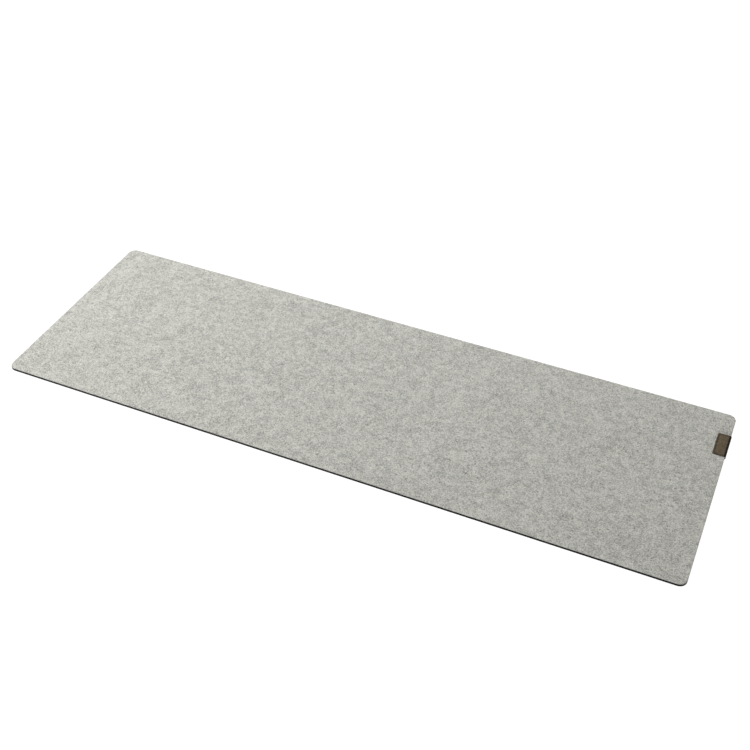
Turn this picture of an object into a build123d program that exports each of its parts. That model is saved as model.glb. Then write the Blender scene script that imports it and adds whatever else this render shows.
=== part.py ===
from build123d import *
from math import cos, pi, radians, sin
import os

# A desk mat: a wool felt top laminated to a rubber base, with a leather tag folded over the
# right-hand edge and sewn through with a lockstitch. Millimetres, +Z up. The origin is the
# middle of the underside, +X runs along the mat to the tag and +Y to the far edge.

# ---- Driving dimensions: the laminated mat ------------------------------------------------
mat_length = 900.0  # along X
mat_depth = 300.0  # along Y
corner_radius = 10.0  # the four die-cut corners, in plan
base_thickness = 2.6  # rubber
film_thickness = 0.1  # laminating adhesive
felt_thickness = 1.3  # wool felt

# ---- Driving dimensions: the leather tag --------------------------------------------------
tag_width = 40.0  # along the mat's edge
tag_setback = 40.0  # from the mat's far edge to the tag
tag_reach = 16.0  # each flap, inward from the mat's edge
tag_corner_radius = 2.0  # the flaps' free corners, in plan
leather_thickness = 0.9
fold_radius = 0.7  # inside the leather's two bends
felt_squeeze = 0.3  # how deep the sewing pulls the top flap into the felt

# ---- Driving dimensions: the seam ---------------------------------------------------------
seam_margin = 2.0  # stitch line to the flap's free edges
seam_start = 2.0  # mat's edge to the first and last stitch holes
stitch_length = 3.0  # aimed at; each side of the seam holds a whole number of stitches
thread_diameter = 0.35
groove_depth = 0.3  # sewing groove in both flaps' outer faces

# ---- Clearances ---------------------------------------------------------------------------
stitch_clearance = 0.1  # between the stitches below and whatever the mat lies on
seat_clearance = 0.1  # round the free sides of each flap, in its seat
edge_clearance = 0.05  # between the mat's cut edge and the fold
thread_clearance = 0.03  # between two threads that pass each other
hole_clearance = 0.03  # between a needle hole or a groove and the threads in it

# ---- Heights of the layers ----------------------------------------------------------------
film_bottom = base_thickness
felt_bottom = film_bottom + film_thickness
mat_top = felt_bottom + felt_thickness

# ---- The tag and the seats it lies in -----------------------------------------------------
edge_x = mat_length / 2
tag_y = mat_depth / 2 - tag_setback - tag_width / 2
tag_tip_x = edge_x - tag_reach
fold_x = edge_x + edge_clearance
foot_rise = stitch_clearance + max(0, thread_diameter - groove_depth)
grip_top = mat_top - felt_squeeze
grip_bottom = foot_rise + leather_thickness
pressed_felt = grip_top - felt_bottom
pressed_base = base_thickness - grip_bottom
bend_radius = min(fold_radius, 0.9 * pressed_felt, 0.9 * pressed_base)
tag_top = grip_top + leather_thickness
across_tag = Plane.XZ.offset(-tag_y)
seat_tip_x = tag_tip_x - seat_clearance
seat_width = tag_width + 2 * seat_clearance

# ---- The threads and the holes they share -------------------------------------------------
# In each hole the needle thread's loop hangs along the seam and the bobbin thread's loop
# stands across it, linked like two links of a chain.
thread_radius = thread_diameter / 2
leg_offset = thread_diameter + thread_clearance / 2
turn_radius = 0.6 * thread_diameter
hole_radius = leg_offset + turn_radius + hole_clearance
groove_width = 2 * (leg_offset + thread_radius + hole_clearance)
groove_top_floor = tag_top - groove_depth
groove_bottom_floor = foot_rise + groove_depth
needle_run_z = groove_top_floor + thread_radius
bobbin_run_z = groove_bottom_floor - thread_radius
link_z = (groove_top_floor + groove_bottom_floor) / 2
link_spread = 2 * leg_offset - thread_diameter - thread_clearance

# ---- Where the stitches are ---------------------------------------------------------------
seam_out_x = edge_x - seam_start
seam_in_x = tag_tip_x + seam_margin
seam_half = tag_width / 2 - seam_margin
seam_corners = [
    Vector(seam_out_x, tag_y + seam_half),
    Vector(seam_in_x, tag_y + seam_half),
    Vector(seam_in_x, tag_y - seam_half),
    Vector(seam_out_x, tag_y - seam_half),
]


def stitch_holes():
    """Each hole's centre, and the seam's direction there, halved between the two at a corner."""
    centres = [seam_corners[0]]
    for start, end in zip(seam_corners, seam_corners[1:]):
        stitches = max(1, round((end - start).length / stitch_length))
        centres += [start + (end - start) * (n / stitches) for n in range(1, stitches + 1)]
    directions = []
    for n, centre in enumerate(centres):
        back = (centre - centres[n - 1]).normalized() if n > 0 else Vector(0, 0)
        ahead = (centres[n + 1] - centre).normalized() if n < len(centres) - 1 else Vector(0, 0)
        directions.append((back + ahead).normalized())
    return list(zip(centres, directions))


holes = stitch_holes()


def mat_outline(height):
    """The sketch of the die-cut outline that all three layers share."""
    with BuildSketch(Plane.XY.offset(height)) as outline:
        RectangleRounded(mat_length, mat_depth, corner_radius)
    return outline.sketch


def needle_holes(height):
    """The sketch of the holes that the seam makes in every layer."""
    with BuildSketch(Plane.XY.offset(height)) as punched:
        with Locations(*[centre for centre, direction in holes]):
            Circle(hole_radius)
    return punched.sketch


def seat_section(floor_z, open_z):
    """What the seam squeezes away under one flap: a seat, and the mat's edge rounded below it."""
    outward = 1 if open_z > floor_z else -1
    round_z = floor_z - outward * bend_radius
    with BuildSketch(across_tag) as section:
        with BuildLine():
            Polyline(
                (edge_x, round_z),
                (edge_x + leather_thickness, round_z),
                (edge_x + leather_thickness, open_z),
                (seat_tip_x, open_z),
                (seat_tip_x, floor_z),
                (edge_x - bend_radius, floor_z),
            )
            RadiusArc((edge_x - bend_radius, floor_z), (edge_x, round_z), outward * bend_radius)
        make_face()
    return section.sketch


def lay_thread(run_z, loop_z, legs):
    """Draw one thread's centreline: straight runs outside, and a loop at loop_z in each hole."""
    inward = 1 if loop_z > run_z else -1
    turn_z = run_z + inward * turn_radius
    for n, (down, up) in enumerate(legs):
        middle = (down + up) / 2
        Line((down.X, down.Y, turn_z), (down.X, down.Y, loop_z))
        ThreePointArc(
            (down.X, down.Y, loop_z),
            (middle.X, middle.Y, loop_z + inward * leg_offset),
            (up.X, up.Y, loop_z),
        )
        Line((up.X, up.Y, loop_z), (up.X, up.Y, turn_z))
        if n == len(legs) - 1:
            break
        target = legs[n + 1][0]
        along = (target - up).normalized()
        start, end = up + along * turn_radius, target - along * turn_radius
        bulge = turn_radius * (1 - cos(radians(45)))
        raised = run_z + inward * turn_radius * (1 - sin(radians(45)))
        leaving, arriving = up + along * bulge, target - along * bulge
        ThreePointArc(
            (up.X, up.Y, turn_z), (leaving.X, leaving.Y, raised), (start.X, start.Y, run_z)
        )
        Line((start.X, start.Y, run_z), (end.X, end.Y, run_z))
        ThreePointArc(
            (end.X, end.Y, run_z), (arriving.X, arriving.Y, raised), (target.X, target.Y, turn_z)
        )


# ---- Rubber base --------------------------------------------------------------------------
with BuildPart() as rubber_base:
    add(mat_outline(0))
    extrude(amount=base_thickness)
    add(seat_section(grip_bottom, -leather_thickness))
    extrude(amount=seat_width / 2, dir=(0, 1, 0), both=True, mode=Mode.SUBTRACT)
    add(needle_holes(0))
    extrude(amount=base_thickness, mode=Mode.SUBTRACT)

# ---- Adhesive film ------------------------------------------------------------------------
with BuildPart() as bond_film:
    add(mat_outline(film_bottom))
    extrude(amount=film_thickness)
    add(needle_holes(film_bottom))
    extrude(amount=film_thickness, mode=Mode.SUBTRACT)

# ---- Felt top -----------------------------------------------------------------------------
with BuildPart() as felt_top:
    add(mat_outline(felt_bottom))
    extrude(amount=felt_thickness)
    add(seat_section(grip_top, tag_top))
    extrude(amount=seat_width / 2, dir=(0, 1, 0), both=True, mode=Mode.SUBTRACT)
    add(needle_holes(felt_bottom))
    extrude(amount=felt_thickness, mode=Mode.SUBTRACT)

# ---- Leather tag --------------------------------------------------------------------------
with BuildPart() as leather_tag:
    outer_radius = bend_radius + leather_thickness
    with BuildSketch(across_tag) as folded_strip:
        with BuildLine():
            FilletPolyline(
                (tag_tip_x, tag_top),
                (fold_x + leather_thickness, tag_top),
                (fold_x + leather_thickness, foot_rise),
                (tag_tip_x, foot_rise),
                radius=outer_radius,
            )
            Line((tag_tip_x, foot_rise), (tag_tip_x, tag_top))
        make_face()
        with BuildLine():
            FilletPolyline(
                (tag_tip_x, grip_top),
                (fold_x, grip_top),
                (fold_x, grip_bottom),
                (tag_tip_x, grip_bottom),
                radius=bend_radius,
            )
            Line((tag_tip_x, grip_bottom), (tag_tip_x, grip_top))
        make_face(mode=Mode.SUBTRACT)
    extrude(amount=tag_width / 2, both=True)
    fillet(leather_tag.edges().filter_by(Axis.Z).group_by(Axis.X)[0], tag_corner_radius)
    # Sewing grooves that sink the stitches, in the top flap's upper face and below.
    for groove_z in (groove_top_floor, foot_rise):
        with BuildSketch(Plane.XY.offset(groove_z)):
            for start, end in zip(seam_corners, seam_corners[1:]):
                SlotCenterPoint((start + end) / 2, end, groove_width)
        extrude(amount=groove_depth, mode=Mode.SUBTRACT)
    add(needle_holes(0))
    extrude(amount=tag_top, mode=Mode.SUBTRACT)

# ---- Needle thread: straight stitches on the top flap, loops along the seam ----------------
with BuildPart() as needle_thread:
    needle_legs = [(c - d * leg_offset, c + d * leg_offset) for c, d in holes]
    with BuildLine() as needle_path:
        lay_thread(needle_run_z, link_z + link_spread / 2, needle_legs)
    with BuildSketch(Plane(needle_path.line @ 0, z_dir=needle_path.line % 0)):
        Circle(thread_radius)
    sweep()

# ---- Bobbin thread: slanted stitches on the bottom flap, loops across the seam -------------
with BuildPart() as bobbin_thread:
    crosswise = [(c, Vector(-d.Y, d.X)) for c, d in holes]
    bobbin_legs = [(c - d * leg_offset, c + d * leg_offset) for c, d in crosswise]
    with BuildLine() as bobbin_path:
        lay_thread(bobbin_run_z, link_z - link_spread / 2, bobbin_legs)
    with BuildSketch(Plane(bobbin_path.line @ 0, z_dir=bobbin_path.line % 0)):
        Circle(thread_radius)
    sweep()

# ---- Label and write each piece -----------------------------------------------------------
rubber_base.part.label = "rubber_base"
bond_film.part.label = "bond_film"
felt_top.part.label = "felt_top"
leather_tag.part.label = "leather_tag"
needle_thread.part.label = "needle_thread"
bobbin_thread.part.label = "bobbin_thread"

os.makedirs("parts", exist_ok=True)
export_step(rubber_base.part, "parts/rubber_base.step")
export_step(bond_film.part, "parts/bond_film.step")
export_step(felt_top.part, "parts/felt_top.step")
export_step(leather_tag.part, "parts/leather_tag.step")
export_step(needle_thread.part, "parts/needle_thread.step")
export_step(bobbin_thread.part, "parts/bobbin_thread.step")

for piece, path in ((needle_thread, needle_path), (bobbin_thread, bobbin_path)):
    length = sum(edge.length for edge in path.line.edges())
    expected = pi * thread_radius**2 * length
    print(piece.part.label, "volume", round(piece.part.volume, 4), "expected", round(expected, 4))
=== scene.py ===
import math
import bpy
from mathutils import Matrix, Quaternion, Vector, noise


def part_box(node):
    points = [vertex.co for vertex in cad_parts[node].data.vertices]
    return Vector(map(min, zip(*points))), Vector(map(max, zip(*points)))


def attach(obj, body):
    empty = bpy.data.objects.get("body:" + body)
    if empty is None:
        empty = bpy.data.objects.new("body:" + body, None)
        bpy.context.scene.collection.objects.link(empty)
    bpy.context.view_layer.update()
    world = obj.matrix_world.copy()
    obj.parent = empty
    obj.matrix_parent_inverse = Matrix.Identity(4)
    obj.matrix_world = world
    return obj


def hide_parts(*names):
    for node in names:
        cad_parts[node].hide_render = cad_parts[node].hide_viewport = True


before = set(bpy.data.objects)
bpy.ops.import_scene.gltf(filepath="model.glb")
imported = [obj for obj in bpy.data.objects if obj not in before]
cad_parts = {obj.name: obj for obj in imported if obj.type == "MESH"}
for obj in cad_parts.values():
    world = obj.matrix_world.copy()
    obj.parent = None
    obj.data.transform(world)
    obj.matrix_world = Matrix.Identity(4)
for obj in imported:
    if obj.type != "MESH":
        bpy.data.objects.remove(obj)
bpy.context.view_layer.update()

# ---- Rubber base ---------------------------------------------------------------------------
# A sheet of black natural rubber, die-cut together with the felt that it carries. Its underside
# keeps the print of the cloth it was cured on, and the tag's lower flap is pressed into it.
base_low, base_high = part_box("rubber_base")
tag_low, tag_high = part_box("leather_tag")
edge_x, edge_y = base_high.x, base_high.y
corner_radius = 0.010
mesh_pitch = 0.00225
leather_thickness = 0.0009
flap_tip_x = tag_low.x
tag_y = (tag_low.y + tag_high.y) / 2
tag_width = tag_high.y - tag_low.y
grip_bottom = tag_low.z + leather_thickness
grip_top = tag_high.z - leather_thickness
bend_radius = 0.0007
seat_gap = 0.0001
trimmed_edge = 0.00012
near = 0.00001


def smooth_step(value):
    """0 below 0, 1 above 1, and an even S between."""
    value = min(1.0, max(0.0, value))
    return value * value * (3 - 2 * value)


def begin_edit(piece, kind, wanted):
    """Open one piece in edit mode with only the faces or edges that wanted() picks selected."""
    bpy.ops.object.select_all(action="DESELECT")
    bpy.context.view_layer.objects.active = piece
    piece.select_set(True)
    bpy.ops.object.mode_set(mode="EDIT")
    bpy.ops.mesh.select_mode(type=kind)
    bpy.ops.mesh.select_all(action="DESELECT")
    bpy.ops.object.mode_set(mode="OBJECT")
    for element in piece.data.polygons if kind == "FACE" else piece.data.edges:
        element.select = wanted(element)
    bpy.ops.object.mode_set(mode="EDIT")


def end_edit():
    """Close edit mode."""
    bpy.ops.object.mode_set(mode="OBJECT")


def inset(point, half_x, half_y, radius):
    """How far a point lies inside a slab's rounded outline, in plan."""
    across, along = abs(point.x) - half_x + radius, abs(point.y) - half_y + radius
    if across > 0 and along > 0:
        return radius - math.hypot(across, along)
    return radius - max(across, along)


def rim_edges(piece, height, half_x, half_y, radius):
    """A test for the edges of a slab's rim at one height."""

    def wanted(edge):
        ends = [piece.data.vertices[n].co for n in edge.vertices]
        level = all(abs(end.z - height) < near for end in ends)
        return level and all(inset(end, half_x, half_y, radius) < near for end in ends)

    return wanted


def round_corners(piece, half_x, half_y, radius):
    """Draw a grid's square corners in to arcs, with the rows of faces kept concentric."""
    for vertex in piece.data.vertices:
        across = abs(vertex.co.x) - half_x + radius
        along = abs(vertex.co.y) - half_y + radius
        if across > 0 and along > 0:
            pull = max(across, along) / math.hypot(across, along)
            vertex.co.x = math.copysign(half_x - radius + across * pull, vertex.co.x)
            vertex.co.y = math.copysign(half_y - radius + along * pull, vertex.co.y)


def cut_slab(name, size_x, size_y, radius, pitch, bottom, top):
    """Cut a slab with rounded corners from sheet, as fine square faces with a plain wall."""
    bpy.ops.object.select_all(action="DESELECT")
    bpy.ops.mesh.primitive_grid_add(
        x_subdivisions=round(size_x / pitch), y_subdivisions=round(size_y / pitch), size=1
    )
    slab = bpy.context.object
    slab.name = slab.data.name = name
    slab.scale = (size_x, size_y, 1)
    slab.location.z = bottom
    bpy.ops.object.transform_apply()
    round_corners(slab, size_x / 2, size_y / 2, radius)
    begin_edit(slab, "FACE", lambda face: True)
    bpy.ops.mesh.extrude_region_move(TRANSFORM_OT_translate={"value": (0, 0, top - bottom)})
    bpy.ops.mesh.select_all(action="SELECT")
    bpy.ops.mesh.normals_make_consistent(inside=False)
    end_edit()
    return slab


def cut_away(piece, tool):
    """Subtract a closed tool from a piece, and throw the tool away."""
    cut = piece.modifiers.new("cut", "BOOLEAN")
    cut.operation = "DIFFERENCE"
    cut.solver = "EXACT"
    cut.object = tool
    bpy.ops.object.select_all(action="DESELECT")
    bpy.context.view_layer.objects.active = piece
    bpy.ops.object.modifier_apply(modifier=cut.name)
    bpy.data.objects.remove(tool)


def smooth_by_angle(piece, degrees):
    """Shade a piece smooth, with every edge sharper than the angle kept crisp."""
    bpy.ops.object.select_all(action="DESELECT")
    bpy.context.view_layer.objects.active = piece
    piece.select_set(True)
    bpy.ops.object.shade_smooth_by_angle(angle=math.radians(degrees))


base = cut_slab(
    "natural_rubber_base", 2 * edge_x, 2 * edge_y, corner_radius, mesh_pitch, base_low.z, base_high.z
)
begin_edit(base, "FACE", lambda face: abs(face.normal.z) > 0.9)
bpy.ops.mesh.dissolve_faces()
end_edit()

seat_tip_x = flap_tip_x - seat_gap
seat_overhang = 0.002
bpy.ops.mesh.primitive_cube_add(size=1)
seat = bpy.context.object
seat.scale = (edge_x - seat_tip_x + seat_overhang, tag_width + 2 * seat_gap, 2 * grip_bottom)
seat.location = ((edge_x + seat_tip_x + seat_overhang) / 2, tag_y, 0)
bpy.ops.object.transform_apply()
cut_away(base, seat)


def is_fold_edge(edge):
    """True for the edge of the base that the leather turns round."""
    ends = [base.data.vertices[n].co for n in edge.vertices]
    return all(end.x > edge_x - near and abs(end.z - grip_bottom) < near for end in ends)


begin_edit(base, "EDGE", is_fold_edge)
bpy.ops.mesh.bevel(offset=bend_radius, segments=4, profile=0.5, affect="EDGES")
end_edit()
begin_edit(base, "EDGE", rim_edges(base, base_low.z, edge_x, edge_y, corner_radius))
bpy.ops.mesh.bevel(offset=trimmed_edge, segments=2, profile=0.5, affect="EDGES")
end_edit()
smooth_by_angle(base, 30)


def add_node(tree, kind, inputs=None, **settings):
    """Place a shader node, set its properties, and fill its sockets with values or links."""
    made = tree.nodes.new(kind)
    for name, value in settings.items():
        setattr(made, name, value)
    for socket, value in (inputs or {}).items():
        if isinstance(value, bpy.types.NodeSocket):
            tree.links.new(value, made.inputs[socket])
        else:
            made.inputs[socket].default_value = value
    return made


def calculate(tree, operation, *values, clamp=False):
    """One Math node, and its result."""
    inputs = dict(enumerate(values))
    return add_node(tree, "ShaderNodeMath", inputs, operation=operation, use_clamp=clamp).outputs[0]


def ramp(tree, value, low, high, out_low=0.0, out_high=1.0):
    """Turn low..high into out_low..out_high with soft ends."""
    inputs = {"Value": value, 1: low, 2: high, 3: out_low, 4: out_high}
    made = add_node(tree, "ShaderNodeMapRange", inputs, interpolation_type="SMOOTHSTEP")
    return made.outputs[0]


def cloud(tree, place, scale, detail=2.0, roughness=0.5, distortion=0.0):
    """A Noise texture, and its value."""
    inputs = {
        "Vector": place,
        "Scale": scale,
        "Detail": detail,
        "Roughness": roughness,
        "Distortion": distortion,
    }
    return add_node(tree, "ShaderNodeTexNoise", inputs).outputs["Fac"]


def blend(tree, factor, first, second):
    """Mix two colours, and give the result."""
    inputs = {0: factor, 6: first, 7: second}
    return add_node(tree, "ShaderNodeMix", inputs, data_type="RGBA").outputs[2]


def new_material(name):
    """An empty finish: its node tree, its shader, and the piece's own coordinates."""
    material = bpy.data.materials.new(name)
    material.use_nodes = True
    tree = material.node_tree
    shader = tree.nodes["Principled BSDF"]
    place = add_node(tree, "ShaderNodeTexCoord").outputs["Object"]
    return material, tree, shader, place


def finish_shader(tree, shader, colour, roughness, height, relief, **constants):
    """Wire colour, roughness and a bump of the given relief in metres into the shader."""
    tree.links.new(colour, shader.inputs["Base Color"])
    tree.links.new(roughness, shader.inputs["Roughness"])
    bump = add_node(tree, "ShaderNodeBump", {"Height": height, "Strength": 1.0, "Distance": relief})
    tree.links.new(bump.outputs["Normal"], shader.inputs["Normal"])
    for socket, value in constants.items():
        shader.inputs[socket.replace("_", " ")].default_value = value


def black_rubber():
    """Matt black rubber with a cloth print, a few scuffs and a bloom of fine dust."""
    material, tree, shader, place = new_material("black_natural_rubber")
    print_pitch = 0.0009
    across = add_node(tree, "ShaderNodeSeparateXYZ", {0: place}).outputs
    turn = 2 * math.pi / print_pitch
    warp = calculate(tree, "SINE", calculate(tree, "MULTIPLY", across["X"], turn))
    weft = calculate(tree, "SINE", calculate(tree, "MULTIPLY", across["Y"], turn))
    cloth = calculate(tree, "MULTIPLY", warp, weft)
    scuffs = ramp(tree, cloud(tree, place, 35, 6, 0.65, 1.5), 0.52, 0.75)
    dust = ramp(tree, cloud(tree, place, 900, 3), 0.45, 0.8)
    shade = calculate(tree, "MULTIPLY_ADD", scuffs, 0.45, calculate(tree, "MULTIPLY", dust, 0.25))
    colour = blend(tree, shade, (0.0070, 0.0070, 0.0072, 1), (0.024, 0.0235, 0.023, 1))
    rough = calculate(tree, "MULTIPLY_ADD", scuffs, 0.12, 0.72)
    height = calculate(tree, "MULTIPLY_ADD", cloth, 0.35, cloud(tree, place, 2500, 2))
    finish_shader(tree, shader, colour, rough, height, 0.00008, Specular_IOR_Level=0.10)
    return material


base.data.materials.append(black_rubber())
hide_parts("rubber_base")
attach(base, "root")

# ---- Adhesive film -------------------------------------------------------------------------
# A tenth of a millimetre of clear laminating adhesive between rubber and felt. Only its edge
# shows, as a thin smoky line with a few strings where the die dragged it.
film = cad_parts["bond_film"]


def clear_adhesive():
    """Dried acrylic adhesive: smoky, a little glossy, uneven along the cut."""
    material, tree, shader, place = new_material("dried_clear_adhesive")
    strings = ramp(tree, cloud(tree, place, 700, 4, 0.6, 2.0), 0.42, 0.62)
    colour = blend(tree, strings, (0.030, 0.029, 0.026, 1), (0.085, 0.082, 0.074, 1))
    rough = calculate(tree, "MULTIPLY_ADD", strings, 0.25, 0.30)
    finish_shader(tree, shader, colour, rough, strings, 0.00003, Specular_IOR_Level=0.5)
    return material


film.data.materials.clear()
film.data.materials.append(clear_adhesive())

# ---- Felt top ------------------------------------------------------------------------------
# Pressed wool felt, little over a millimetre thick: white wool carded with a little black.
# The die leaves its upper rim soft and round, and the seam draws it down round the tag.
felt_low, felt_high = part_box("felt_top")
felt_thickness = felt_high.z - felt_low.z
rim_radius = 0.0005
squeeze = felt_high.z - grip_top
draw_in = 0.0045
fine_zone = 0.007
waves_per_metre, wave_height = 22, 0.00010
lumps_per_metre, lump_height = 150, 0.00005
# Painted shade at the foot of the felt's cut wall: full up to the first height above the felt's
# underside, none above the second.
wall_shade_bottom, wall_shade_top = 0.0003, 0.0007

felt = cut_slab(
    "wool_felt_top", 2 * edge_x, 2 * edge_y, corner_radius, mesh_pitch, felt_low.z, felt_high.z
)


def tag_distance(point):
    """How far a point of the mat lies outside the tag's footprint, in plan."""
    past_tip = flap_tip_x - point.x
    past_side = abs(point.y - tag_y) - tag_width / 2
    return math.hypot(max(0, past_tip), max(0, past_side))


begin_edit(felt, "FACE", lambda face: face.normal.z > 0.9 and tag_distance(face.center) < fine_zone)
bpy.ops.mesh.subdivide(number_cuts=2)
end_edit()
begin_edit(felt, "FACE", lambda face: face.normal.z < -0.9)
bpy.ops.mesh.dissolve_faces()
end_edit()
begin_edit(felt, "EDGE", rim_edges(felt, felt_high.z, edge_x, edge_y, corner_radius))
bpy.ops.mesh.bevel(offset=rim_radius, segments=4, profile=0.5, affect="EDGES")
end_edit()

for vertex in felt.data.vertices:
    share = (vertex.co.z - felt_low.z) / felt_thickness
    free = smooth_step(tag_distance(vertex.co) / draw_in)
    wave = noise.noise(vertex.co * waves_per_metre) * wave_height
    lump = noise.noise(vertex.co * lumps_per_metre) * lump_height
    vertex.co.z += share * ((wave + lump) * free - squeeze * (1 - free))
smooth_by_angle(felt, 40)

# The bake's map: the upper face takes nearly the whole square, the sides and underside a strip.
bake_map = felt.data.uv_layers.new(name="OFBake")
upper_start, upper_size = (0.003, 0.105), (0.994, 0.89)
under_start, under_size = (0.70, 0.060), (0.29, 0.03)
strip_rows = {"front": 0.010, "back": 0.035, "ends": 0.060}
left_start, right_start, end_size = 0.003, 0.35, 0.33
row_height = 0.020
for face in felt.data.polygons:
    for loop in face.loop_indices:
        point = felt.data.vertices[felt.data.loops[loop].vertex_index].co
        u, v = point.x / (2 * edge_x) + 0.5, point.y / (2 * edge_y) + 0.5
        rise = (point.z - felt_low.z) / felt_thickness * row_height
        if face.normal.z > 0.5:
            place = (upper_start[0] + upper_size[0] * u, upper_start[1] + upper_size[1] * v)
        elif face.normal.z < -0.5:
            place = (under_start[0] + under_size[0] * u, under_start[1] + under_size[1] * v)
        elif abs(face.normal.y) > abs(face.normal.x):
            row = "front" if face.normal.y < 0 else "back"
            place = (upper_start[0] + upper_size[0] * u, strip_rows[row] + rise)
        else:
            start = left_start if face.normal.x < 0 else right_start
            place = (start + end_size * v, strip_rows["ends"] + rise)
        bake_map.data[loop].uv = place


def new_group(name, inputs, outputs):
    """A node group with named sockets, and the nodes that its inputs and outputs show at."""
    group = bpy.data.node_groups.new(name, "ShaderNodeTree")
    for socket, kind, value in inputs:
        made = group.interface.new_socket(socket, in_out="INPUT", socket_type=kind)
        if value is not None:
            made.default_value = value
    for socket, kind in outputs:
        group.interface.new_socket(socket, in_out="OUTPUT", socket_type=kind)
    given = group.nodes.new("NodeGroupInput").outputs
    result = group.nodes.new("NodeGroupOutput").inputs
    return group, given, result


def loose_fibres():
    """Single curved hairs strewn at every angle: one in each cell of a Voronoi pattern."""
    group, given, result = new_group(
        "loose_fibres",
        [
            ("Vector", "NodeSocketVector", None),
            ("Cells", "NodeSocketFloat", 250.0),
            ("Length", "NodeSocketFloat", 0.004),
            ("Width", "NodeSocketFloat", 0.0003),
            ("Share", "NodeSocketFloat", 0.6),
        ],
        [("Fibre", "NodeSocketFloat")],
    )
    cells = add_node(
        group,
        "ShaderNodeTexVoronoi",
        {"Vector": given["Vector"], "Scale": given["Cells"]},
        voronoi_dimensions="2D",
    )
    chance = add_node(group, "ShaderNodeSeparateColor", {0: cells.outputs["Color"]}).outputs
    local = add_node(
        group,
        "ShaderNodeVectorMath",
        {0: given["Vector"], 1: cells.outputs["Position"]},
        operation="SUBTRACT",
    ).outputs[0]
    angle = calculate(group, "MULTIPLY", chance["Red"], math.pi)
    turned = add_node(
        group, "ShaderNodeVectorRotate", {"Vector": local, "Angle": angle}, rotation_type="Z_AXIS"
    ).outputs[0]
    along = add_node(group, "ShaderNodeSeparateXYZ", {0: turned}).outputs
    run = calculate(group, "DIVIDE", along["X"], given["Length"])
    curl = calculate(group, "SUBTRACT", chance["Green"], 0.5)
    bow = calculate(group, "MULTIPLY", calculate(group, "MULTIPLY", run, run), curl)
    bow = calculate(group, "MULTIPLY", bow, calculate(group, "MULTIPLY", given["Length"], 2.4))
    aside = calculate(group, "ABSOLUTE", calculate(group, "SUBTRACT", along["Y"], bow))
    thin = calculate(group, "DIVIDE", aside, given["Width"])
    line = ramp(group, thin, 0.35, 1.0, 1.0, 0.0)
    ends = ramp(group, calculate(group, "ABSOLUTE", run), 0.3, 0.5, 1.0, 0.0)
    present = calculate(group, "LESS_THAN", chance["Blue"], given["Share"])
    fibre = calculate(group, "MULTIPLY", calculate(group, "MULTIPLY", line, ends), present)
    group.links.new(fibre, result["Fibre"])
    return group


fibre_group = loose_fibres()


def strew(tree, place, cells, length, width, share, shift):
    """One layer of loose fibres, shifted and tilted so that no two layers agree."""
    settings = {"Vector": place, "Location": shift, "Rotation": (0.5, 0.4, 0)}
    moved = add_node(tree, "ShaderNodeMapping", settings, vector_type="POINT").outputs[0]
    inputs = {"Vector": moved, "Cells": cells, "Length": length, "Width": width, "Share": share}
    return add_node(tree, "ShaderNodeGroup", inputs, node_tree=fibre_group).outputs[0]


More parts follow.
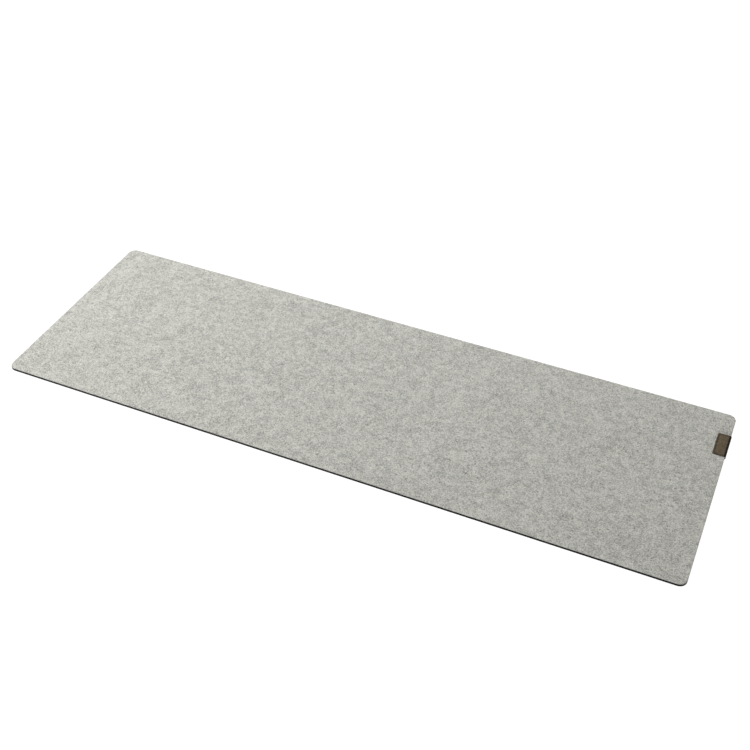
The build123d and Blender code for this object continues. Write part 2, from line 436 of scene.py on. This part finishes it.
def melange_wool():
    """White wool with black carded in: dark clusters and flecks, single hairs, pale wisps, grain.

    At the foot of the cut wall, next to the rubber, the wool is painted nearly black: painted shade.
    """
    material, tree, shader, place = new_material("melange_wool_felt")
    flattened = {"Vector": place, "Scale": (1, 1, 5)}
    pressed = add_node(tree, "ShaderNodeMapping", flattened, vector_type="POINT").outputs[0]
    drift = {"Vector": pressed, "Scale": 160.0, "Detail": 2.0}
    drift = add_node(tree, "ShaderNodeTexNoise", drift).outputs["Color"]
    wander = {0: drift, "Scale": 0.004}
    wander = add_node(tree, "ShaderNodeVectorMath", wander, operation="SCALE").outputs[0]
    carded = {0: pressed, 1: wander}
    carded = add_node(tree, "ShaderNodeVectorMath", carded, operation="ADD").outputs[0]
    broad = cloud(tree, place, 40, 2)
    clusters = cloud(tree, carded, 120, 3, 0.6)
    small = cloud(tree, carded, 400, 2, 0.6)
    grain = cloud(tree, pressed, 660, 2, 0.7)
    dark_hairs = wisps = 0.0
    for cells, length, width, shift in (
        (230.0, 0.0042, 0.00012, (0.011, 0.007, 0)),
        (290.0, 0.0034, 0.00011, (0.031, 0.023, 0)),
        (350.0, 0.0028, 0.00010, (0.017, 0.041, 0)),
    ):
        layer = strew(tree, carded, cells, length, width, 0.75, shift)
        dark_hairs = calculate(tree, "MAXIMUM", dark_hairs, layer)
    for scale, distortion in ((420, 1.2), (640, 1.6), (900, 1.2)):
        tangle = calculate(tree, "SUBTRACT", cloud(tree, carded, scale, 1, 0.5, distortion), 0.5)
        wisp = ramp(tree, calculate(tree, "ABSOLUTE", tangle), 0.0, 0.035, 1.0, 0.0)
        wisps = calculate(tree, "MAXIMUM", wisps, wisp)
    flecks = ramp(tree, cloud(tree, carded, 560, 2, 0.6, 0.8), 0.57, 0.65)
    crossed = calculate(tree, "MULTIPLY_ADD", wisps, -0.6, 1.0)
    flecks = calculate(tree, "MULTIPLY", flecks, crossed)
    near_cluster = ramp(tree, clusters, 0.40, 0.62, 0.15, 0.65)
    left_white = 1.385
    dark = calculate(tree, "MULTIPLY_ADD", dark_hairs, near_cluster, -left_white)
    for part, weight in (
        (broad, 0.20),
        (clusters, 0.65),
        (small, 0.95),
        (grain, 1.60),
        (flecks, 0.50),
        (wisps, -0.08),
    ):
        dark = calculate(tree, "MULTIPLY_ADD", part, weight, dark)
    dark = calculate(tree, "MAXIMUM", dark, 0.0, clamp=True)
    colour = blend(tree, dark, (0.80, 0.795, 0.728, 1), (0.150, 0.148, 0.137, 1))
    level = add_node(tree, "ShaderNodeSeparateXYZ", {0: place}).outputs["Z"]
    # Painted shade: the foot of the cut wall, next to the rubber, is painted nearly black.
    painted_wall_shade = ramp(tree, level, felt_low.z + wall_shade_bottom, felt_low.z + wall_shade_top, 0.95, 0.0)
    colour = blend(tree, painted_wall_shade, colour, (0.010, 0.010, 0.010, 1))
    rough = calculate(tree, "MULTIPLY_ADD", grain, 0.06, 0.90)
    height = calculate(tree, "MULTIPLY", grain, 0.7)
    for part, weight in ((small, 0.6), (wisps, 0.45), (dark_hairs, 0.35)):
        height = calculate(tree, "MULTIPLY_ADD", part, weight, height)
    finish_shader(
        tree,
        shader,
        colour,
        rough,
        height,
        0.00012,
        Specular_IOR_Level=0.15,
        Sheen_Weight=0.25,
        Sheen_Roughness=0.6,
    )
    return material


felt.data.materials.append(melange_wool())
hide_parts("felt_top")
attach(felt, "root")

# ---- Leather tag ---------------------------------------------------------------------------
# A strip of vegetable-tanned leather, grooved for its seam while flat, then folded over the
# mat's right-hand edge. Its cut edges carry dark edge paint. Its fold and the floors of its
# stitch grooves are darkened with painted shade.
fold_gap = 0.00005
fold_x = edge_x + fold_gap
straight = (grip_top - grip_bottom) / 2 - bend_radius
neutral_radius = bend_radius + leather_thickness / 2
bend_length = neutral_radius * math.pi / 2
flap_length = fold_x - bend_radius - flap_tip_x
half_strip = straight + bend_length + flap_length
flap_corner = 0.002
seam_margin = 0.002
groove_width = 0.00114
groove_depth = 0.0003
stitch_length = 0.003
hole_radius = 0.000605
groove_floor, groove_side = 0.55, 0.55
shaved_edge = 0.00014
swells_per_metre, swell_height = 300, 0.00003
pillow_height, pillow_run, pillow_start, pillow_rise = 0.00010, 0.005, 0.0024, 0.004
# Where the painted shade on the fold ends, and how fast it fades.
fold_shade_start, fold_shade_fade = 0.0006, 0.0012
cut_start, cut_fade = 0.0001, 0.0008
leather_pitch = 0.00036
seam_half = tag_width / 2 - seam_margin
seam_inner = half_strip - seam_margin
seam_outer = half_strip - (edge_x - seam_margin - flap_tip_x)

tag = cut_slab(
    "leather_edge_tag",
    2 * half_strip,
    tag_width,
    flap_corner,
    leather_pitch,
    0,
    leather_thickness,
)
for height in (0, leather_thickness):
    begin_edit(tag, "EDGE", rim_edges(tag, height, half_strip, tag_width / 2, flap_corner))
    bpy.ops.mesh.bevel(offset=shaved_edge, segments=2, profile=0.5, affect="EDGES")
    end_edit()


def seam_distance(s, y):
    """How far a point of the strip lies from the stitch line: three sides of each flap."""
    along_sides = math.hypot(max(0, seam_outer - abs(s), abs(s) - seam_inner), seam_half - abs(y))
    across_end = math.hypot(max(0, abs(y) - seam_half), seam_inner - abs(s))
    return min(along_sides, across_end)


def folded(s, rise):
    """Where a point goes as the strip is folded: s from the strip's middle, rise above its flesh."""
    height = (grip_top + grip_bottom) / 2
    turned = min(max(0, abs(s) - straight), bend_length) / neutral_radius
    reach = max(0, abs(s) - straight - bend_length)
    x = fold_x - bend_radius + (bend_radius + rise) * math.cos(turned) - reach
    z = min(abs(s), straight) + (bend_radius + rise) * math.sin(turned)
    return x, height - math.copysign(z, s)


# A darkening per point: edge paint on the cut edges, painted shade on the fold and in the stitch
# grooves.
edge_paint_and_shade = tag.data.attributes.new("edge_paint_and_shade", "FLOAT", "POINT")
for n, vertex in enumerate(tag.data.vertices):
    s, y, rise = vertex.co
    outside = rise / leather_thickness
    from_seam = seam_distance(s, y)
    groove = 1 - smooth_step((from_seam / (groove_width / 2) - groove_floor) / groove_side)
    swell = noise.noise(Vector((s, y, 0)) * swells_per_metre) * swell_height
    past_fold = smooth_step((abs(s) - pillow_start) / pillow_rise)
    pillow = smooth_step(from_seam / pillow_run) * past_fold * pillow_height
    rise += outside * (swell + pillow - groove * groove_depth)
    from_cut = inset(vertex.co, half_strip, tag_width / 2, flap_corner)
    cut = 1 - smooth_step((from_cut - cut_start) / cut_fade)
    # Painted shade: the fold, which faces away from the light, takes the full nearly black colour.
    fold = 1 - smooth_step((abs(s) - straight - bend_length - fold_shade_start) / fold_shade_fade)
    # Edge paint on the cut edges, and painted shade on the fold and on the floors of the stitch
    # grooves.
    edge_paint_and_shade.data[n].value = max(0.55 * cut, fold, 0.50 * groove * outside)
    x, z = folded(s, rise)
    vertex.co = (x, tag_y + y, z)

begin_edit(tag, "FACE", lambda face: True)
bpy.ops.mesh.normals_make_consistent(inside=False)
end_edit()

seam_corners = [
    Vector((edge_x - seam_margin, tag_y + seam_half)),
    Vector((flap_tip_x + seam_margin, tag_y + seam_half)),
    Vector((flap_tip_x + seam_margin, tag_y - seam_half)),
    Vector((edge_x - seam_margin, tag_y - seam_half)),
]
centres = [seam_corners[0]]
for start, end in zip(seam_corners, seam_corners[1:]):
    stitches = round((end - start).length / stitch_length)
    centres += [start.lerp(end, n / stitches) for n in range(1, stitches + 1)]

needle_length, needle_middle = 0.012, 0.002
needles = []
for centre in centres:
    bpy.ops.object.select_all(action="DESELECT")
    bpy.ops.mesh.primitive_cylinder_add(
        vertices=16,
        radius=hole_radius,
        depth=needle_length,
        location=(centre.x, centre.y, needle_middle),
    )
    needles.append(bpy.context.object)
for needle in needles:
    needle.select_set(True)
bpy.context.view_layer.objects.active = needles[0]
bpy.ops.object.join()
punch = bpy.context.object
bpy.ops.object.transform_apply()
cut_away(tag, punch)
smooth_by_angle(tag, 35)


def tanned_leather():
    """Olive-brown leather: fine pebbled grain, cloudy dye, dark edge paint on the cut edges, and
    painted shade, nearly black, on the fold and in the stitch grooves.
    """
    material, tree, shader, place = new_material("olive_brown_leather")
    edge_paint_and_shade_mask = add_node(tree, "ShaderNodeAttribute", attribute_name="edge_paint_and_shade").outputs["Fac"]
    pebbles = add_node(
        tree,
        "ShaderNodeTexVoronoi",
        {"Vector": place, "Scale": 1500.0, "Randomness": 1.0},
        feature="DISTANCE_TO_EDGE",
    ).outputs["Distance"]
    grain = ramp(tree, pebbles, 0.0, 0.28)
    pores = ramp(tree, cloud(tree, place, 5200, 2), 0.34, 0.46)
    dye = ramp(tree, cloud(tree, place, 380, 4, 0.65, 0.8), 0.25, 0.75)
    worn = ramp(tree, cloud(tree, place, 700, 3, 0.6), 0.5, 0.8)
    colour = blend(tree, dye, (0.090, 0.066, 0.037, 1), (0.256, 0.198, 0.124, 1))
    crease = calculate(tree, "MULTIPLY_ADD", grain, -0.5, 0.5)
    colour = blend(tree, crease, colour, (0.072, 0.053, 0.032, 1))
    colour = blend(tree, calculate(tree, "MULTIPLY", worn, 0.25), colour, (0.26, 0.205, 0.135, 1))
    # Dark edge paint on the cut edges. Nearly black painted shade on the fold and in the stitch
    # grooves.
    colour = blend(tree, edge_paint_and_shade_mask, colour, (0.0070, 0.0045, 0.0032, 1))
    rough = calculate(tree, "MULTIPLY_ADD", edge_paint_and_shade_mask, -0.12, 0.58)
    height = calculate(tree, "MULTIPLY_ADD", pores, 0.3, grain)
    finish_shader(tree, shader, colour, rough, height, 0.00006, Specular_IOR_Level=0.14)
    return material


tag.data.materials.append(tanned_leather())
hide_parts("leather_tag")
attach(tag, "root")

# ---- Lockstitch threads --------------------------------------------------------------------
# Two three-ply polyester threads. The needle thread lies along the upper groove and the bobbin
# thread along the lower one, and in each hole their loops catch each other inside the mat.
thread_diameter = 0.00035
thread_gap = 0.00003
thread_radius = thread_diameter / 2
leg_offset = thread_diameter + thread_gap / 2
turn_reach = 0.6 * thread_diameter
upper_run_z = tag_high.z - groove_depth + thread_radius
lower_run_z = tag_low.z + groove_depth - thread_radius
link_z = (tag_high.z + tag_low.z) / 2
link_half = (2 * leg_offset - thread_diameter - thread_gap) / 2
ply_pitch = 0.0012

directions = []
for n, centre in enumerate(centres):
    back = (centre - centres[n - 1]).normalized() if n > 0 else Vector((0, 0))
    ahead = (centres[n + 1] - centre).normalized() if n < len(centres) - 1 else Vector((0, 0))
    directions.append((back + ahead).normalized())


def three_ply_outline():
    """The thread's section: three plies side by side."""
    outline = bpy.data.curves.new("three_plies", "CURVE")
    outline.dimensions = "2D"
    ring = outline.splines.new("POLY")
    corners = 12
    dip = 0.14
    ring.points.add(corners - 1)
    for n, point in enumerate(ring.points):
        angle = 2 * math.pi * n / corners
        out = thread_radius * (1 - dip + dip * math.cos(3 * angle))
        point.co = (out * math.cos(angle), out * math.sin(angle), 0, 1)
    ring.use_cyclic_u = True
    made = bpy.data.objects.new("three_plies", outline)
    bpy.context.scene.collection.objects.link(made)
    return made


def sew(name, run_z, loop_z, across_seam):
    """Lay one thread through all the holes, and give it its twisted section."""
    inward = math.copysign(1, loop_z - run_z)
    stops = []
    legs = []
    for centre, direction in zip(centres, directions):
        aim = Vector((-direction.y, direction.x)) if across_seam else direction
        legs.append((centre - aim * leg_offset, centre + aim * leg_offset))
    for n, (down, up) in enumerate(legs):
        stops += [
            (*down, run_z + inward * turn_reach),
            (*down, loop_z),
            (*down, loop_z + inward * leg_offset),
            (*up, loop_z + inward * leg_offset),
            (*up, loop_z),
            (*up, run_z + inward * turn_reach),
        ]
        if n < len(legs) - 1:
            target = legs[n + 1][0]
            ahead = (target - up).normalized() * turn_reach
            stops += [
                (*up, run_z),
                (*(up + ahead), run_z),
                (*((up + target) / 2), run_z),
                (*(target - ahead), run_z),
                (*target, run_z),
            ]
    line = bpy.data.curves.new(name, "CURVE")
    line.dimensions = "3D"
    line.bevel_mode = "OBJECT"
    line.bevel_object = three_ply_outline()
    line.use_fill_caps = True
    strand = line.splines.new("NURBS")
    strand.points.add(len(stops) - 1)
    travelled = 0.0
    last = Vector(stops[0])
    for point, stop in zip(strand.points, stops):
        travelled += (Vector(stop) - last).length
        last = Vector(stop)
        point.co = (*stop, 1)
        point.tilt = 2 * math.pi * travelled / ply_pitch
    strand.order_u = 3
    strand.use_endpoint_u = True
    strand.resolution_u = 7
    thread = bpy.data.objects.new(name, line)
    bpy.context.scene.collection.objects.link(thread)
    bpy.ops.object.select_all(action="DESELECT")
    thread.select_set(True)
    bpy.context.view_layer.objects.active = thread
    bpy.ops.object.convert(target="MESH")
    bpy.data.objects.remove(line.bevel_object)
    # Both end caps come loose from the tube, so they are welded on before the faces are turned.
    begin_edit(thread, "EDGE", lambda edge: False)
    bpy.ops.mesh.select_non_manifold()
    bpy.ops.mesh.remove_doubles(threshold=near / 10)
    bpy.ops.mesh.select_all(action="SELECT")
    bpy.ops.mesh.normals_make_consistent(inside=False)
    end_edit()
    smooth_by_angle(thread, 60)
    return thread


def polyester_thread():
    """Dull olive-black polyester: fine filaments and a soft lustre."""
    material, tree, shader, place = new_material("olive_polyester_thread")
    filaments = cloud(tree, place, 14000, 2)
    lint = ramp(tree, cloud(tree, place, 3500, 3), 0.5, 0.8)
    colour = blend(tree, filaments, (0.050, 0.042, 0.028, 1), (0.130, 0.110, 0.078, 1))
    colour = blend(tree, calculate(tree, "MULTIPLY", lint, 0.25), colour, (0.14, 0.125, 0.10, 1))
    rough = calculate(tree, "MULTIPLY_ADD", filaments, 0.15, 0.50)
    finish_shader(tree, shader, colour, rough, filaments, 0.00002, Specular_IOR_Level=0.4)
    return material


thread_material = polyester_thread()
for name, node, run_z, side, across_seam in (
    ("upper_needle_stitches", "needle_thread", upper_run_z, 1, False),
    ("lower_bobbin_stitches", "bobbin_thread", lower_run_z, -1, True),
):
    thread = sew(name, run_z, link_z + side * link_half, across_seam)
    thread.data.materials.append(thread_material)
    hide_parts(node)
    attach(thread, "root")

# ---- Floor, light and camera ---------------------------------------------------------------
# A plain white table in a bright studio: a broad soft light high on the left, a weaker one at
# the back, a low strip in front that lights the near wall, and a pale room round it.
floor_size = 12.0
table_glow, table_share = 1.12, 0.90
room_seen, room_light = 1.0, 0.11
bpy.ops.object.select_all(action="DESELECT")
bpy.ops.mesh.primitive_plane_add(size=floor_size, location=(0, 0, 0))
floor = bpy.context.object
floor.name = "studio_floor"
floor_material = bpy.data.materials.new("white_table")
floor_material.use_nodes = True
floor_tree = floor_material.node_tree
floor_shader = floor_tree.nodes["Principled BSDF"]
floor_shader.inputs["Base Color"].default_value = (0.80, 0.80, 0.80, 1)
floor_shader.inputs["Roughness"].default_value = 0.9
glow = add_node(floor_tree, "ShaderNodeEmission", {"Color": (1, 1, 1, 1), "Strength": table_glow})
seen = add_node(floor_tree, "ShaderNodeLightPath").outputs["Is Camera Ray"]
share = calculate(floor_tree, "MULTIPLY", seen, table_share)
mixed = add_node(
    floor_tree,
    "ShaderNodeMixShader",
    {0: share, 1: floor_shader.outputs[0], 2: glow.outputs[0]},
)
floor_tree.links.new(mixed.outputs[0], floor_tree.nodes["Material Output"].inputs["Surface"])
floor.data.materials.append(floor_material)

# Each light's name, place, aim, width and height, and watts.
lights = [
    ("left_softbox", (-2.0, 0.0, 1.5), (-0.2, 0.0, 0.0), (1.5, 1.5), 58.0),
    ("back_softbox", (0.3, 1.6, 1.6), (0.0, 0.0, 0.0), (1.4, 1.4), 15.5),
    ("front_strip", (0.3, -2.6, 0.32), (0.1, 0.0, 0.0), (2.0, 0.4), 22.0),
]
for name, position, target, size, power in lights:
    lamp = bpy.data.lights.new(name, "AREA")
    lamp.shape = "RECTANGLE"
    lamp.size, lamp.size_y = size
    lamp.energy = power
    holder = bpy.data.objects.new(name, lamp)
    holder.location = position
    aim = Vector(target) - Vector(position)
    holder.rotation_euler = aim.to_track_quat("-Z", "Y").to_euler()
    bpy.context.scene.collection.objects.link(holder)

room = bpy.data.worlds.new("bright_room")
room.use_nodes = True
room_tree = room.node_tree
background = room_tree.nodes["Background"]
seen = add_node(room_tree, "ShaderNodeLightPath").outputs["Is Camera Ray"]
strength = calculate(room_tree, "MULTIPLY_ADD", seen, room_seen - room_light, room_light)
background.inputs["Color"].default_value = (1, 1, 1, 1)
room_tree.links.new(strength, background.inputs["Strength"])
bpy.context.scene.world = room

lens = bpy.data.cameras.new("camera")
lens.lens = 56.08
lens.sensor_width = 36.0
lens.clip_start = 0.01
camera = bpy.data.objects.new("camera", lens)
bpy.context.scene.collection.objects.link(camera)
camera.location = (0.458467, -1.039780, 1.004739)
heading, pitch, roll = 23.1913, 49.4239, 0.7977
camera.rotation_mode = "QUATERNION"
camera.rotation_quaternion = (
    Quaternion((0, 0, 1), math.radians(heading))
    @ Quaternion((1, 0, 0), math.radians(pitch))
    @ Quaternion((0, 0, 1), math.radians(roll))
)
bpy.context.scene.camera = camera
bpy.context.scene.view_settings.view_transform = "Standard"
